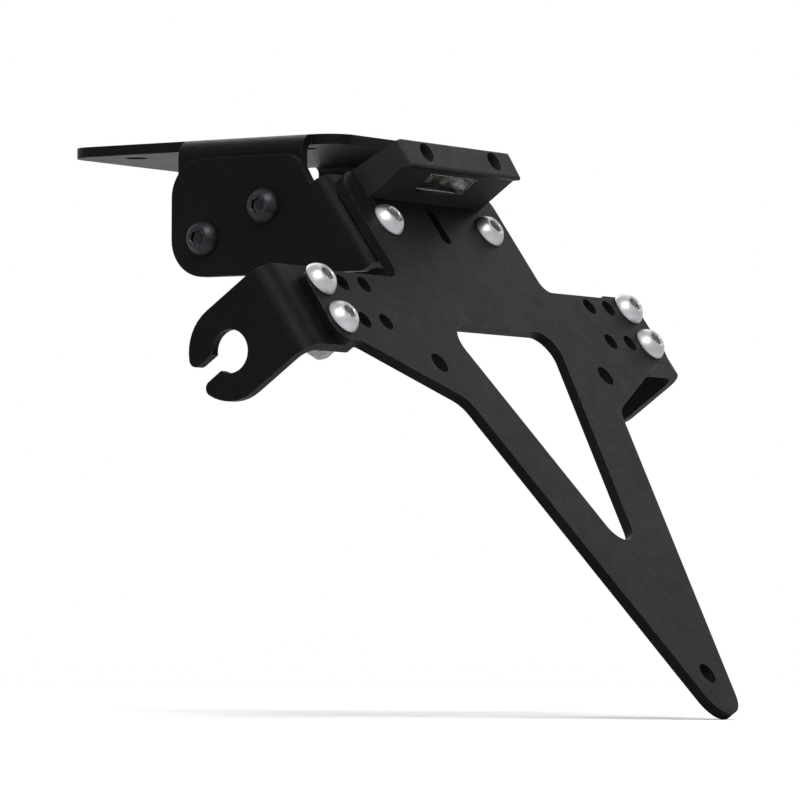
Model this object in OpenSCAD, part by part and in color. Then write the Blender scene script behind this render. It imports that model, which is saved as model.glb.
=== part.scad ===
// Tail tidy of a motorbike: a number plate carrier with indicator ears and a plate lamp, hung under the tail.
// Frame: +X to the rear, +Y to the right of the motorbike, +Z up.
// Origin: the middle of the four tail screws, on the upper face of the mounting bracket.

/* [Number plate carrier] */
// Lean of the carrier from upright, with its foot to the rear
carrier_lean = 35; // [20:1:45]
// Distance of the neck's top edge behind the middle of the tail screws
neck_edge_x = 51.3; // [46:0.1:70]
// Depth of the neck's top edge under the mounting face
neck_edge_drop = 11.1; // [9:0.1:20]
// Thickness of the carrier sheet
carrier_t = 3; // [2.5:0.5:4]
// Height of the neck's top edge above the lowest hole, along the sheet
neck_top = 173; // [170:1:180]
// How much narrower the neck is than the bracket behind it, on each side
neck_step = 2.3; // [0:0.1:4]
// Radius of the neck's top corners
neck_corner_r = 8; // [3:1:12]
// Height of the wings' top edge above the lowest hole
wing_top = 134.8; // [132:0.1:138]
// Distance of the wings' top corners in from the ears' outer faces
wing_step = 12.5; // [8:0.5:14]
// How much wider the wings get at each lower corner
wing_flare = 1.5; // [0:0.5:5]
// Height of the wings' lower edge above the lowest hole
wing_foot = 110.6; // [106:0.1:111]
// Distance from a wing's lower corner in to the point where its edge turns down
wing_turn_in = 10.7; // [9:0.1:14]
// Height at which the lower edges meet the V
v_top = 92.3; // [86:0.1:98]
// Angle of each arm of the V from the middle line
v_angle = 17.8; // [15:0.1:19]
// Width of each arm of the V
v_arm_w = 19.2; // [14:0.2:22]
// Radius of the V's round tip
tip_r = 8.7; // [7:0.1:10]
// Distance from the lowest hole down to the tip
tip_drop = 13.5; // [12:0.5:18]
// Height of the window's top edge above the lowest hole
window_top = 119.3; // [112:0.1:122]
// Radius of the window's upper corners
window_corner_r = 7; // [3:0.5:9]
// Radius of the window's lower corner
window_foot_r = 7; // [2:0.5:9]

/* [Holes of the carrier] */
// Diameter of the three number plate holes
plate_hole_d = 6.5; // [5:0.1:7]
// Distance between the two upper number plate holes
plate_hole_pitch = 88; // [80:1:90]
// Height of the upper number plate holes above the lowest hole
plate_hole_rise = 104.8; // [102:0.1:107]
// Diameter of the clearance holes for the screws
screw_hole_d = 6.5; // [6.3:0.1:7]
// Distance of the outermost wing holes in from the ears' outer faces
wing_hole_in = 18.5; // [17:0.5:22]
// Distance between the columns of wing holes
wing_hole_pitch = 10.8; // [10:0.1:12]
// Columns of holes in each wing
wing_hole_columns = 3; // [1:1:3]
// Height of the lower row of wing holes above the lowest hole
wing_hole_row = 118.1; // [117:0.1:119]
// Distance between the two rows of wing holes
wing_hole_row_pitch = 12.9; // [12:0.1:13]
// Diameter of the spare wing holes
spare_hole_d = 5.5; // [4:0.1:6]
// Width of the slot in the neck
neck_slot_w = 4.2; // [3:0.1:5]
// Length of the slot in the neck
neck_slot_l = 13; // [8:0.5:14]
// Distance of the slot's middle below the neck's top edge
neck_slot_drop = 17; // [15:0.5:21]

/* [Indicator ears] */
// Thickness of the ear sheet
ear_t = 3; // [2:0.5:4]
// Width over the outer faces of both ears
ear_span = 199; // [196:1:206]
// Height of each ear, along the carrier
ear_h = 27.4; // [26:0.2:30]
// Inner radius of the ear's bend
ear_bend_r = 3.8; // [1:0.1:4]
// Distance from the carrier's forward face to the middle of the eye
ear_eye_reach = 22.4; // [16:0.2:26]
// Diameter of the eye for the indicator stem
ear_eye_d = 12; // [8:0.5:13]
// Width of the cable slot that opens the eye
ear_slot_w = 5.4; // [4:0.1:6]
// Distance from the outermost wing holes to the ear's inner end
ear_end_margin = 6.6; // [6:0.1:8]
// Radius of the rounded tips beside the slot
ear_tip_r = 2.2; // [1:0.1:3]

/* [Upper bracket] */
// Thickness of the bracket sheet
bracket_t = 3; // [2.5:0.5:4]
// Width over both cheeks
bracket_w = 81; // [77:1:86]
// Inner radius of the bracket's bends
bracket_bend_r = 2; // [1:0.5:3]
// Distance of the bracket's lower end below the neck's top edge, along the carrier
bracket_h = 30; // [28:0.5:33]
// Distance of the neck screws in from the cheeks' outer faces
neck_screw_in = 14.2; // [12:0.1:16]
// Distance of the neck screws below the neck's top edge
neck_screw_drop = 17.2; // [16:0.1:20]

/* [Cheek screws] */
// Distance of the rear cheek screws behind the middle of the tail screws
cheek_screw_x = 28; // [24:1:32]
// Depth of the rear cheek screws under the mounting face
cheek_screw_drop = 20.5; // [18:0.5:24]
// Distance between the two screws of a cheek, to the front
cheek_screw_run = 21; // [18:0.5:26]
// How much lower the front cheek screw is
cheek_screw_fall = 8.5; // [6:0.5:10]
// Radius of the cheek's sheet round its front screw
cheek_nose_r = 11; // [10:0.5:13]

/* [Tail mounting bracket] */
// Thickness of the mounting bracket's sheet
mount_t = 3; // [2.5:0.5:4]
// Length of the mounting face
mount_l = 96; // [90:1:110]
// Distance between the tail screws along the motorbike
tail_hole_pitch_x = 60; // [50:1:64]
// Distance of the tail screws in from the upper bracket's outer faces
tail_hole_in = 18.5; // [15:0.5:20]
// Diameter of the tail screw holes
tail_hole_d = 6.6; // [6:0.1:8.4]
// Diameter of the cable opening in the mounting face
cable_hole_d = 20; // [12:1:24]
// Running clearance between the cheeks of the two brackets
cheek_gap = 0.2; // [0.1:0.1:0.3]
// Outer radius of the mounting face's corners
mount_corner_r = 8; // [4:1:10]

/* [Plate lamp] */
// Width of the lamp
lamp_w = 58; // [50:0.5:64]
// Depth of the lamp out from the carrier
lamp_depth = 16.7; // [14:0.1:18]
// Height of the lamp's rear face
lamp_face_h = 9.1; // [8.5:0.1:11]
// How far the lamp stands above the neck's top edge
lamp_rise = 0.6; // [0:0.1:3]
// Wall of the lamp housing
lamp_wall = 1.5; // [1.2:0.1:2]
// How much the lamp's top falls towards its rear face
lamp_top_fall = 2.2; // [1:0.1:4]
// How much farther out the rear face stands at its top edge
lamp_tilt = 1.3; // [0:0.1:2]
// How far the rear face hangs below the lamp's floor
lamp_lip = 1.7; // [1:0.1:3]
// Length of the chamfers at the lamp's ends
lamp_chamfer = 1.5; // [1:0.1:4]
// Distance of the lamp screws below the rear face's top edge
lamp_screw_drop = 3.8; // [3.4:0.1:5]
// Distance between the two lamp screws
lamp_screw_pitch = 35.4; // [32:0.1:37]
// Width of the lamp's clear lens
lens_w = 25; // [20:0.5:25]
// Depth of the lamp's clear lens
lens_depth = 8; // [6:0.5:9]
// Thickness of the lens flange
lens_t = 1.6; // [1.2:0.1:2]
// Number of light-emitting diodes
led_count = 3; // [1:1:4]
// Diameter of the cable's grommet
grommet_d = 4; // [3.5:0.1:5]

/* [Fasteners] */
// Thread diameter of the sheet metal screws
screw_d = 6; // [5:0.1:6]
// Head diameter of the sheet metal screws
screw_head_d = 10.5; // [10:0.1:12]
// Head height of the sheet metal screws
screw_head_h = 3.3; // [2.8:0.1:4]
// Hexagon socket of the sheet metal screws, across flats
screw_socket_af = 4; // [3:0.1:5]
// Hexagon of the nuts, across flats
nut_af = 10; // [9:0.1:11]
// Height of the nuts
nut_h = 5; // [4:0.1:6]
// Diameter of the washers
washer_d = 12; // [11:0.1:12.5]
// Thickness of the washers
washer_t = 1.6; // [1:0.1:2]
// Length of thread that stands out of a nut
thread_end = 1.5; // [0.5:0.1:3]
// Thread diameter of the lamp screws
lamp_screw_d = 3; // [2.5:0.1:4]
// Head diameter of the lamp screws
lamp_head_d = 5.4; // [5:0.1:6.6]
// Gap between a thread and the bore round it
thread_gap = 0.06; // [0.04:0.01:0.1]

/* [Hidden] */
$fn = 48;
past = 1;              // how far a cut runs past the face that it cuts
far = 400;             // longer than any piece
black_coat = [0.10, 0.10, 0.11];
black_plastic = [0.14, 0.14, 0.15];
bright_steel = [0.78, 0.78, 0.80];
dark_steel = [0.22, 0.22, 0.24];

// the V, from its angle, its arm and its tip
v_slope = tan(v_angle);
v_outer_foot = -(tip_drop - tip_r) - tip_r / sin(v_angle);
v_inner_foot = v_outer_foot + v_arm_w / sin(v_angle);
function v_outer(rise) = (rise - v_outer_foot) * v_slope;
function v_inner(rise) = (rise - v_inner_foot) * v_slope;

// the wings from the ears, and the neck from the bracket behind it
neck_w = bracket_w - 2 * neck_step;
neck_screw_pitch = bracket_w - 2 * neck_screw_in;
wing_span = ear_span - 2 * wing_step;
wing_turn = wing_span / 2 + wing_flare - wing_turn_in;
wing_hole_out = ear_span / 2 - wing_hole_in;
turn_r = 8;
wing_foot_r = 6;
wing_corner_r = 5;
neck_foot_r = 4;
wing_rows = [wing_hole_row, wing_hole_row + wing_hole_row_pitch];
ear_middle = wing_hole_row + wing_hole_row_pitch / 2;
ear_corner_r = 4;
carrier_foot_x = neck_edge_x + neck_top * sin(carrier_lean);
carrier_foot_drop = neck_edge_drop + neck_top * cos(carrier_lean);
neck_screw_rise = neck_top - neck_screw_drop;
neck_slot_rise = neck_top - neck_slot_drop;
bracket_foot = neck_top - bracket_h;
bracket_back = -carrier_t - bracket_t;
bracket_top = neck_top + 1;
mount_w = bracket_w - 2 * (bracket_t + cheek_gap);
tail_hole_pitch_y = bracket_w - 2 * tail_hole_in;
mount_bend_r = 2;
cheek_front_x = cheek_screw_x - cheek_screw_run;
cheek_front_drop = cheek_screw_drop + cheek_screw_fall;
cheek_roof = mount_t + 3;
cheek_screws_at = [[cheek_screw_x, -cheek_screw_drop], [cheek_front_x, -cheek_front_drop]];

lamp_top = neck_top + lamp_rise;
lamp_brow = lamp_top - lamp_top_fall;       // top edge of the rear face
lamp_foot = lamp_brow - lamp_face_h;
lamp_floor = lamp_foot + lamp_lip;
lamp_reach = lamp_depth + lamp_tilt;
lamp_screw_rise = lamp_brow - lamp_screw_drop;
lamp_cable_rise = lamp_top - 4.6;
lamp_face_run = 4;       // from the rear face to the lens, where the floor slopes
lamp_edge_r = 0.8;
lamp_hole_play = 0.4;
lamp_nut_af = 5.5;
lamp_nut_h = 2.4;
lamp_washer_d = 7;
lamp_washer_t = 0.5;
lamp_head_h = 2.1;
lamp_pocket_play = 0.3;
lamp_pocket = 4.2;       // depth of the pocket over each lamp screw
lamp_socket_af = 2;
lamp_seat = lamp_depth - lamp_pocket;
board_t = 1.2;
led_size = 2.8;
led_h = 1.1;
seal_t = 0.8;
collar_rim = 1.6;
collar_t = 1.5;
lens_front = lamp_depth - lamp_face_run;
lens_back = lens_front - lens_depth;
lens_ledge = 1;
lens_seat = lamp_floor + lens_t + seal_t;
room_w = lens_w - 2 * lens_ledge;
room_top = lamp_brow - lamp_wall;
lamp_stack = lamp_seat - bracket_back + lamp_washer_t + lamp_nut_h;

// Points of an outline whose corners are [x, y, radius], each corner turned as an arc
function along(a, b) = (b - a) / norm(b - a);
function corner_points(before, here, after, r) =
    let (
        p = [here[0], here[1]],
        to_before = along(p, [before[0], before[1]]),
        to_after = along(p, [after[0], after[1]]),
        half = acos(max(-1, min(1, to_before * to_after))) / 2,
        middle = p + along([0, 0], to_before + to_after) * r / sin(half),
        start = p + to_before * r / tan(half) - middle,
        turn = cross(to_before, to_after) > 0 ? -(180 - 2 * half) : 180 - 2 * half,
        steps = max(3, ceil(abs(turn) / 7.5))
    )
    r <= 0 ? [p] : [
        for (i = [0 : steps])
        let (a = turn * i / steps)
        middle + [start[0] * cos(a) - start[1] * sin(a), start[0] * sin(a) + start[1] * cos(a)]
    ];
function outline(corners) = [
    for (i = [0 : len(corners) - 1])
    for (
        p = corner_points(
            corners[(i + len(corners) - 1) % len(corners)],
            corners[i],
            corners[(i + 1) % len(corners)],
            corners[i][2]
        )
    ) p
];
function mirrored(half) = concat(half, [for (i = [len(half) - 1 : -1 : 0]) [-half[i][0], half[i][1], half[i][2]]]);

// A point in the side view, at a height along the carrier and a distance out of its rear face
function on_side(rise, out) = [
    carrier_foot_x - rise * sin(carrier_lean) + out * cos(carrier_lean),
    -carrier_foot_drop + rise * cos(carrier_lean) + out * sin(carrier_lean)
];

// Carrier axes: x to the right, y up the sheet and z out of its rear face, from the lowest hole
module on_carrier() {
    translate([carrier_foot_x, 0, -carrier_foot_drop])
        rotate([0, -carrier_lean, 0])
        rotate([90, 0, 90])
        children();
}

// A plane figure in x and height, made into a wall across the motorbike
module across(width) {
    translate([0, width / 2, 0])
        rotate([90, 0, 0])
        linear_extrude(width)
        children();
}

// A plane figure in x and z, run up the carrier's sheet from one height to another
module up_sheet(from, to) {
    translate([0, to, 0])
        rotate([90, 0, 0])
        linear_extrude(to - from)
        children();
}

// A channel's section, open downward, with its web's outer face at the given height
module channel_section(width, top, reach, t, bend_r) {
    difference() {
        polygon(outline([
            [-width / 2, -reach, 0], [width / 2, -reach, 0],
            [width / 2, top, bend_r + t], [-width / 2, top, bend_r + t]
        ]));
        polygon(outline([
            [t - width / 2, -reach - past, 0], [width / 2 - t, -reach - past, 0],
            [width / 2 - t, top - t, bend_r], [t - width / 2, top - t, bend_r]
        ]));
    }
}

// Fasteners stand on z = 0 with the head or the outer face upward
module button_head(d, h, socket_af) {
    crown_r = d * 0.28;
    edge = h * 0.12;
    ball_z = ((d / 2) ^ 2 - crown_r ^ 2 + edge ^ 2 - h ^ 2) / (2 * (edge - h));
    ball_r = norm([d / 2, edge - ball_z]);
    difference() {
        intersection() {
            cylinder(d = d, h = h);
            translate([0, 0, ball_z]) sphere(r = ball_r);
        }
        translate([0, 0, h * 0.4]) cylinder(d = socket_af / cos(30), h = h, $fn = 6);
    }
}

module button_screw(d, length, head_d, head_h, socket_af) {
    chamfer = d * 0.1;
    button_head(head_d, head_h, socket_af);
    translate([0, 0, chamfer - length]) cylinder(d = d, h = length - chamfer);
    translate([0, 0, -length]) cylinder(d1 = d - 2 * chamfer, d2 = d, h = chamfer);
}

module ring(outer_d, inner_d, h) {
    difference() {
        cylinder(d = outer_d, h = h);
        translate([0, 0, -past]) cylinder(d = inner_d, h = h + 2 * past);
    }
}

module nut(af, d, h) {
    difference() {
        cylinder(d = af / cos(30), h = h, $fn = 6);
        translate([0, 0, -past]) cylinder(d = d + 2 * thread_gap, h = h + 2 * past);
    }
}

// A screw's stack: the head over z = 0, then the sheets, the washer and the nut under it
module stack_screw(sheets) {
    button_screw(screw_d, sheets + washer_t + nut_h + thread_end, screw_head_d, screw_head_h, screw_socket_af);
}

module stack_washer(sheets) {
    translate([0, 0, -sheets - washer_t]) ring(washer_d, screw_d + 2 * thread_gap, washer_t);
}

module stack_nut(sheets) {
    translate([0, 0, -sheets - washer_t - nut_h]) nut(nut_af, screw_d, nut_h);
}

// Places of the fasteners
module at_ear(side) {
    on_carrier()
        for (row = wing_rows) translate([side * wing_hole_out, row, 0]) children();
}

module at_neck() {
    on_carrier()
        for (side = [-1, 1]) translate([side * neck_screw_pitch / 2, neck_screw_rise, 0]) children();
}

module at_cheeks() {
    for (side = [-1, 1])
        for (p = cheek_screws_at)
            translate([p[0], side * bracket_w / 2, p[1]]) rotate([-90 * side, 0, 0]) children();
}

module at_lamp_screws() {
    on_carrier()
        for (side = [-1, 1]) translate([side * lamp_screw_pitch / 2, lamp_screw_rise, 0]) children();
}

module number_plate_carrier() {
    right_half = [
        [v_outer(v_top), v_top, turn_r],
        [wing_turn, wing_foot, turn_r],
        [wing_span / 2 + wing_flare, wing_foot, wing_foot_r],
        [wing_span / 2, wing_top, wing_corner_r],
        [neck_w / 2, wing_top, neck_foot_r],
        [neck_w / 2, neck_top, neck_corner_r]
    ];
    color(black_coat)
        on_carrier()
        difference() {
            translate([0, 0, -carrier_t])
                linear_extrude(carrier_t)
                polygon(outline(concat([[0, v_outer_foot, tip_r]], mirrored(right_half))));
            translate([0, 0, -carrier_t - past])
                linear_extrude(carrier_t + 2 * past)
                polygon(outline([
                    [0, v_inner_foot, window_foot_r],
                    [v_inner(window_top), window_top, window_corner_r],
                    [-v_inner(window_top), window_top, window_corner_r]
                ]));
            carrier_bore(0, 0, plate_hole_d);
            for (side = [-1, 1]) {
                carrier_bore(side * plate_hole_pitch / 2, plate_hole_rise, plate_hole_d);
                for (row = wing_rows) carrier_bore(side * wing_hole_out, row, screw_hole_d);
                for (row = wing_rows, column = [1 : 1 : wing_hole_columns - 1])
                    carrier_bore(side * (wing_hole_out - column * wing_hole_pitch), row, spare_hole_d);
            }
            neck_bores();
        }
}

// Cuts in carrier axes, through the carrier and what lies behind it
module carrier_bore(x, y, d) {
    translate([x, y, -far / 2]) cylinder(d = d, h = far);
}

module neck_bores() {
    for (side = [-1, 1]) {
        carrier_bore(side * neck_screw_pitch / 2, neck_screw_rise, screw_hole_d);
        carrier_bore(side * lamp_screw_pitch / 2, lamp_screw_rise, lamp_screw_d + lamp_hole_play);
    }
    carrier_bore(0, lamp_cable_rise, grommet_d + 2 * thread_gap);
    neck_slot_end = neck_slot_w * 0.49;
    translate([0, neck_slot_rise, -far / 2])
        linear_extrude(far)
        polygon(outline([
            for (corner = [[-1, -1], [1, -1], [1, 1], [-1, 1]])
                [corner[0] * neck_slot_w / 2, corner[1] * neck_slot_l / 2, neck_slot_end]
        ]));
}

module upper_bracket() {
    bend_end = carrier_t + bracket_t + bracket_bend_r;
    nose_x = cheek_front_x - cheek_nose_r;
    nose_floor = -cheek_front_drop - cheek_nose_r;
    side_view = outline([
        concat(on_side(bracket_foot, past), 0),
        concat(on_side(bracket_top, past), 0),
        concat(on_side(bracket_top, -bend_end), 0),
        [cheek_screw_x + cheek_nose_r, -cheek_roof, 6],
        [nose_x, -cheek_roof, cheek_nose_r],
        [nose_x, nose_floor, cheek_nose_r],
        concat(on_side(bracket_foot, -bend_end), 2)
    ]);
    color(black_coat)
        difference() {
            intersection() {
                on_carrier()
                    up_sheet(-far / 2, far)
                    channel_section(bracket_w, -carrier_t, far / 2, bracket_t, bracket_bend_r);
                across(far) polygon(side_view);
            }
            on_carrier() neck_bores();
            cheek_bores();
        }
}

module cheek_bores() {
    for (p = cheek_screws_at)
        translate([p[0], far / 2, p[1]]) rotate([90, 0, 0]) cylinder(d = screw_hole_d, h = far);
}

module tail_mount_bracket() {
    face_w = mount_w - 2 * (mount_t + mount_bend_r);
    tab_rear = cheek_screw_x + cheek_nose_r;
    tab_front = cheek_front_x - cheek_nose_r;
    color(black_coat)
        difference() {
            union() {
                translate([0, 0, -mount_t])
                    linear_extrude(mount_t)
                    polygon(outline([
                        for (corner = [[-1, -1], [1, -1], [1, 1], [-1, 1]])
                            [corner[0] * mount_l / 2, corner[1] * face_w / 2, mount_corner_r]
                    ]));
                intersection() {
                    translate([far / 2, 0, 0])
                        rotate([90, 0, -90])
                        linear_extrude(far)
                        channel_section(mount_w, 0, far / 2, mount_t, mount_bend_r);
                    across(far) polygon(outline([
                        [tab_rear, past, 0],
                        [tab_front, past, 0],
                        [tab_front, -cheek_front_drop - cheek_nose_r, cheek_nose_r],
                        [tab_rear, -cheek_screw_drop - cheek_nose_r, cheek_nose_r]
                    ]));
                }
            }
            for (x = [-1, 1], y = [-1, 1])
                translate([x * tail_hole_pitch_x / 2, y * tail_hole_pitch_y / 2, -mount_t - past])
                    cylinder(d = tail_hole_d, h = mount_t + 2 * past);
            translate([0, 0, -mount_t - past]) cylinder(d = cable_hole_d, h = mount_t + 2 * past);
            cheek_bores();
        }
}

// An ear on the right: a flange behind the wing and a leg that runs forward to the eye
module ear() {
    inner_x = wing_hole_out - ear_end_margin;
    outer_x = ear_span / 2;
    eye_z = -carrier_t - ear_eye_reach;
    end_r = ear_h / 2;
    slot = ear_slot_w / 2;
    tip = [slot + ear_tip_r, sqrt((end_r - ear_tip_r) ^ 2 - (slot + ear_tip_r) ^ 2)];
    tip_turn = acos(tip[0] / (end_r - ear_tip_r));
    // one jaw of the hook, as distances across the ear and forward from the eye
    jaw = concat(
        [[end_r, -far]],
        [for (i = [0 : 8]) let (a = tip_turn * i / 8) end_r * [cos(a), sin(a)]],
        [for (i = [0 : 8]) let (a = tip_turn + (180 - tip_turn) * i / 8) tip + ear_tip_r * [cos(a), sin(a)]],
        [[slot, 0]]
    );
    hook = concat(jaw, [for (i = [len(jaw) - 1 : -1 : 0]) [-jaw[i][0], jaw[i][1]]]);
    difference() {
        intersection() {
            up_sheet(ear_middle - ear_h, ear_middle + ear_h)
                polygon(outline([
                    [inner_x, -carrier_t - ear_t, 0],
                    [inner_x, -carrier_t, 0],
                    [outer_x, -carrier_t, ear_bend_r + ear_t],
                    [outer_x, -far / 2, 0],
                    [outer_x - ear_t, -far / 2, 0],
                    [outer_x - ear_t, -carrier_t - ear_t, ear_bend_r]
                ]));
            translate([0, 0, -far / 2])
                linear_extrude(far)
                polygon(outline([
                    [inner_x, ear_middle - ear_h / 2, ear_corner_r],
                    [outer_x + past, ear_middle - ear_h / 2, 0],
                    [outer_x + past, ear_middle + ear_h / 2, 0],
                    [inner_x, ear_middle + ear_h / 2, ear_corner_r]
                ]));
            translate([0, ear_middle, eye_z])
                rotate([0, 90, 0])
                linear_extrude(far)
                polygon([for (p = hook) [p[1], p[0]]]);
        }
        for (row = wing_rows) carrier_bore(wing_hole_out, row, screw_hole_d);
        translate([0, ear_middle, eye_z]) rotate([0, 90, 0]) cylinder(d = ear_eye_d, h = far);
    }
}

module left_indicator_ear() {
    color(black_coat) on_carrier() mirror([1, 0, 0]) ear();
}

module right_indicator_ear() {
    color(black_coat) on_carrier() ear();
}

module left_ear_screws() {
    color(bright_steel) at_ear(-1) stack_screw(carrier_t + ear_t);
}

module left_ear_washers() {
    color(bright_steel) at_ear(-1) stack_washer(carrier_t + ear_t);
}

module left_ear_nuts() {
    color(bright_steel) at_ear(-1) stack_nut(carrier_t + ear_t);
}

module right_ear_screws() {
    color(bright_steel) at_ear(1) stack_screw(carrier_t + ear_t);
}

module right_ear_washers() {
    color(bright_steel) at_ear(1) stack_washer(carrier_t + ear_t);
}

module right_ear_nuts() {
    color(bright_steel) at_ear(1) stack_nut(carrier_t + ear_t);
}

module neck_screws() {
    color(bright_steel) at_neck() stack_screw(carrier_t + bracket_t);
}

module neck_washers() {
    color(bright_steel) at_neck() stack_washer(carrier_t + bracket_t);
}

module neck_nuts() {
    color(bright_steel) at_neck() stack_nut(carrier_t + bracket_t);
}

module cheek_screws() {
    color(dark_steel) at_cheeks() stack_screw(bracket_t + cheek_gap + mount_t);
}

module cheek_washers() {
    color(dark_steel) at_cheeks() stack_washer(bracket_t + cheek_gap + mount_t);
}

module cheek_nuts() {
    color(dark_steel) at_cheeks() stack_nut(bracket_t + cheek_gap + mount_t);
}

// A block in carrier axes: its middle across, its heights and its distances out of the carrier
module lamp_block(w, foot, top, back, front) {
    translate([-w / 2, foot, back]) cube([w, top - foot, front - back]);
}

module lamp_housing() {
    color(black_plastic)
        on_carrier()
        difference() {
            intersection() {
                rotate([90, 0, 90])
                    translate([0, 0, -lamp_w / 2])
                    linear_extrude(lamp_w)
                    polygon(outline([
                        [lamp_floor, 0, 0],
                        [lamp_top, 0, 0],
                        [lamp_brow, lamp_reach, lamp_edge_r],
                        [lamp_foot, lamp_depth, lamp_edge_r],
                        [lamp_floor, lens_front + lamp_wall, lamp_edge_r]
                    ]));
                up_sheet(lamp_foot - past, lamp_top + past)
                    polygon(outline([
                        [-lamp_w / 2, -past, 0],
                        [lamp_w / 2, -past, 0],
                        [lamp_w / 2, lamp_reach - lamp_chamfer, lamp_edge_r],
                        [lamp_w / 2 - lamp_chamfer, lamp_reach, lamp_edge_r],
                        [lamp_chamfer - lamp_w / 2, lamp_reach, lamp_edge_r],
                        [-lamp_w / 2, lamp_reach - lamp_chamfer, lamp_edge_r]
                    ]));
            }
            // seat of the lens, the room over it and the cable's way out
            lamp_block(lens_w, lamp_floor - past, lens_seat, lens_back, lens_front);
            lamp_block(room_w, lens_seat - past, room_top, lens_back + lens_ledge, lens_front - lens_ledge);
            translate([0, lamp_cable_rise, -past])
                cylinder(d = grommet_d + 2 * thread_gap, h = lens_back + lens_ledge + 2 * past);
            for (side = [-1, 1])
                translate([side * lamp_screw_pitch / 2, lamp_screw_rise, 0]) {
                    translate([0, 0, -past]) cylinder(d = lamp_screw_d + lamp_hole_play, h = far);
                    translate([0, 0, lamp_seat]) cylinder(d = lamp_head_d + 2 * lamp_pocket_play, h = far);
                }
        }
}

module lamp_lens() {
    color([0.75, 0.78, 0.78, 0.5])
        on_carrier()
        lamp_block(
            lens_w - 2 * thread_gap, lamp_floor, lamp_floor + lens_t,
            lens_back + thread_gap, lens_front - thread_gap
        );
}

module lamp_seal() {
    color("dimgray")
        on_carrier()
        difference() {
            lamp_block(
                lens_w - 2 * thread_gap, lamp_floor + lens_t, lens_seat,
                lens_back + thread_gap, lens_front - thread_gap
            );
            lamp_block(
                room_w, lamp_floor, lens_seat + past,
                lens_back + lens_ledge, lens_front - lens_ledge
            );
        }
}

module lamp_board() {
    color("darkgreen")
        on_carrier()
        lamp_block(
            room_w - 2 * thread_gap, room_top - board_t, room_top,
            lens_back + lens_ledge + thread_gap, lens_front - lens_ledge - thread_gap
        );
}

module lamp_leds() {
    color("lightyellow")
        on_carrier()
        for (i = [0 : led_count - 1])
            translate([(i - (led_count - 1) / 2) * room_w / led_count, 0, 0])
                lamp_block(
                    led_size, room_top - board_t - led_h, room_top - board_t,
                    (lens_back + lens_front - led_size) / 2, (lens_back + lens_front + led_size) / 2
                );
}

module lamp_screws() {
    color(dark_steel)
        at_lamp_screws()
        translate([0, 0, lamp_seat])
        button_screw(lamp_screw_d, lamp_stack + thread_end, lamp_head_d, lamp_head_h, lamp_socket_af);
}

module lamp_washers() {
    color(dark_steel)
        at_lamp_screws()
        translate([0, 0, bracket_back - lamp_washer_t])
        ring(lamp_washer_d, lamp_screw_d + 2 * thread_gap, lamp_washer_t);
}

module lamp_nuts() {
    color(dark_steel)
        at_lamp_screws()
        translate([0, 0, lamp_seat - lamp_stack])
        nut(lamp_nut_af, lamp_screw_d, lamp_nut_h);
}

// A rubber sleeve from the lamp's room through the sheets, with a collar behind them
module lamp_grommet() {
    color("dimgray")
        on_carrier()
        translate([0, lamp_cable_rise, 0])
        difference() {
            union() {
                translate([0, 0, bracket_back]) cylinder(d = grommet_d, h = lens_back - bracket_back);
                translate([0, 0, bracket_back - collar_t]) cylinder(d = grommet_d + 2 * collar_rim, h = collar_t);
            }
            translate([0, 0, bracket_back - collar_t - past]) cylinder(d = grommet_d * 0.5, h = far);
        }
}

number_plate_carrier();
upper_bracket();
tail_mount_bracket();
left_indicator_ear();
right_indicator_ear();
left_ear_screws();
left_ear_washers();
left_ear_nuts();
right_ear_screws();
right_ear_washers();
right_ear_nuts();
neck_screws();
neck_washers();
neck_nuts();
cheek_screws();
cheek_washers();
cheek_nuts();
lamp_housing();
lamp_lens();
lamp_seal();
lamp_board();
lamp_leds();
lamp_screws();
lamp_washers();
lamp_nuts();
lamp_grommet();
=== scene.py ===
"""Tail tidy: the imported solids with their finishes, and detailed fasteners, lens, diodes and grommet."""
import math

import bmesh
import bpy
from mathutils import Matrix, Vector


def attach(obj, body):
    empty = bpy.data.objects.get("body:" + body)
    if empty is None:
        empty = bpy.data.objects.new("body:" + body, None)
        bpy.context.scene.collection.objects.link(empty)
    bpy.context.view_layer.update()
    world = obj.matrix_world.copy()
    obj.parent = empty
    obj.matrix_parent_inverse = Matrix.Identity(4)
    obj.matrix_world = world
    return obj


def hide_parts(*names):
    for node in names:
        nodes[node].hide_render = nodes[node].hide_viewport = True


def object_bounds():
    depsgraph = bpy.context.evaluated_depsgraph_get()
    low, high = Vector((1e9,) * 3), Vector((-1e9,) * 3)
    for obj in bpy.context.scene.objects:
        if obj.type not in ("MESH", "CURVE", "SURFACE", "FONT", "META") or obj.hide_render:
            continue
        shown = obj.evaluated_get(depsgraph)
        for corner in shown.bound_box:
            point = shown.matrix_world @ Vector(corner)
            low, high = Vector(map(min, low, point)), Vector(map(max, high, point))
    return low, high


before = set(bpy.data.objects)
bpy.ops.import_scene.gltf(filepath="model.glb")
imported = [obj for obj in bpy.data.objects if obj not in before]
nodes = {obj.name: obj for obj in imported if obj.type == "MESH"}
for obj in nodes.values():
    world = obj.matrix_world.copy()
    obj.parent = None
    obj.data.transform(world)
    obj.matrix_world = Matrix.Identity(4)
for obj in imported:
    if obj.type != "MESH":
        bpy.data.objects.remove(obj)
cad_low, cad_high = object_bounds()
scene = bpy.context.scene

MM = 0.001
TAU = 2 * math.pi

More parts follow.
